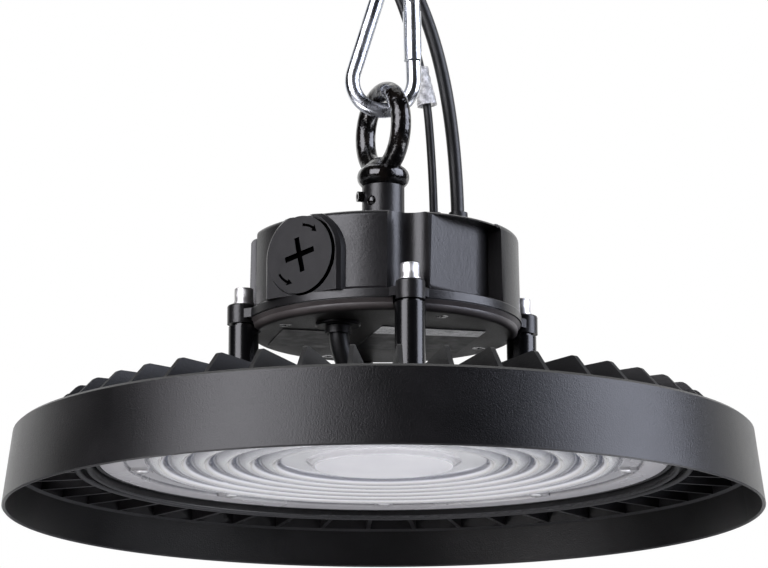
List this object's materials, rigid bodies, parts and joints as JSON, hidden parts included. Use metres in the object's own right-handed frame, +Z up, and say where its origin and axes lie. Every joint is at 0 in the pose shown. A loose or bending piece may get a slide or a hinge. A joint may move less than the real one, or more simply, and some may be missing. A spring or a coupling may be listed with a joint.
{
  "type": "high bay light",
  "caption": "Round black high bay light: finned body with a deep rim and ring lens, round driver box on columns, eye bolt and spring hook.",
  "frame": {"origin": "on the lamp's upright axis, in the plane of the rim's lower edge", "axes": "+Z up towards the hook, light leaves downwards along -Z; the front is -Y, and the camera of the picture stands about 10 degrees to the left of it"},
  "size_m": [0.3398, 0.3398, 0.2725],
  "materials": {
    "black_powder_coat": "matte black powder coat over a casting",
    "grey_powder_coat": "semi-gloss dark grey powder coat over a casting",
    "dark_cover": "matte dark paint",
    "black_columns": "gloss black anodised",
    "white_board": "white solder mask",
    "phosphor_chips": "yellow phosphor in white packages",
    "clear_lens": "clear moulded polycarbonate with a frosted centre",
    "black_seal": "matte silicone",
    "stainless_screws": "plain stainless steel",
    "bare_label": "satin silver film, left bare",
    "circuit_board": "green laminate",
    "ferrite_and_tape": "grey ferrite",
    "capacitor_can": "dark sleeve over a can",
    "dark_plastic": "dark grey moulded plastic",
    "black_dipped_steel": "gloss black dipped paint over forged steel",
    "zinc_plated_steel": "bright zinc plate",
    "black_rubber": "matte black cable sheath",
    "tinned_copper": "insulated cores with tinned tips",
    "clear_sleeve": "clear crumpled plastic sleeve"
  },
  "bodies": {
    "lamp": {"heat_sink": "black_powder_coat", "led_board": "white_board", "led_chips": "phosphor_chips", "board_screws": "stainless_screws", "lens": "clear_lens", "lens_gasket": "black_seal", "lens_screws": "stainless_screws", "column_front": "black_columns", "column_right": "black_columns", "column_back": "black_columns", "column_left": "black_columns", "column_screws": "stainless_screws", "flat_washers": "stainless_screws", "spring_washers": "stainless_screws", "driver_housing": "grey_powder_coat", "driver_cover": "dark_cover", "cover_screws": "black_dipped_steel", "cover_gasket": "black_seal", "cover_labels": "bare_label", "circuit_board": "circuit_board", "circuit_screws": "stainless_screws", "transformer": "ferrite_and_tape", "bulk_capacitor": "capacitor_can", "input_choke": "ferrite_and_tape", "sensor_socket": "dark_plastic", "eye_bolt": "black_dipped_steel", "lock_screw": "black_dipped_steel", "grub_screw": "black_dipped_steel", "mains_gland": "black_rubber", "dimming_gland": "black_rubber", "mains_lead": "black_rubber", "dimming_lead": "black_rubber", "mains_cores": "tinned_copper", "dimming_cores": "tinned_copper", "cable_sleeve": "clear_sleeve", "dc_lead": "black_rubber", "dc_gland": "black_rubber", "dc_grommet": "black_rubber"},
    "hook": {"hook": "zinc_plated_steel", "gate_pin": "zinc_plated_steel"},
    "gate": {"hook_gate": "zinc_plated_steel", "gate_spring": "stainless_screws"},
    "port_cap": {"port_cap": "dark_plastic", "cap_seal": "black_seal"}
  },
  "joints": [
    {"name": "hook_swing", "type": "hinge", "parent": "lamp", "child": "hook", "pos_m": [0, 0, 0.1937], "axis": [0.274, -0.9617, 0], "range_deg": [-27, 42]},
    {"name": "gate_hinge", "type": "hinge", "parent": "hook", "child": "gate", "pos_m": [0.01294, -0.0024, 0.2371], "axis": [0.1822, 0.9833, 0], "range_deg": [0, 28], "stiffness_Nm_per_rad": 0.05, "springref_deg": -28.65},
    {"name": "port_cap_turn", "type": "hinge", "parent": "lamp", "child": "port_cap", "pos_m": [-0.0446, -0.04307, 0.1059], "axis": [-0.7193, -0.6947, 0], "range_deg": [0, 45]}
  ]
}
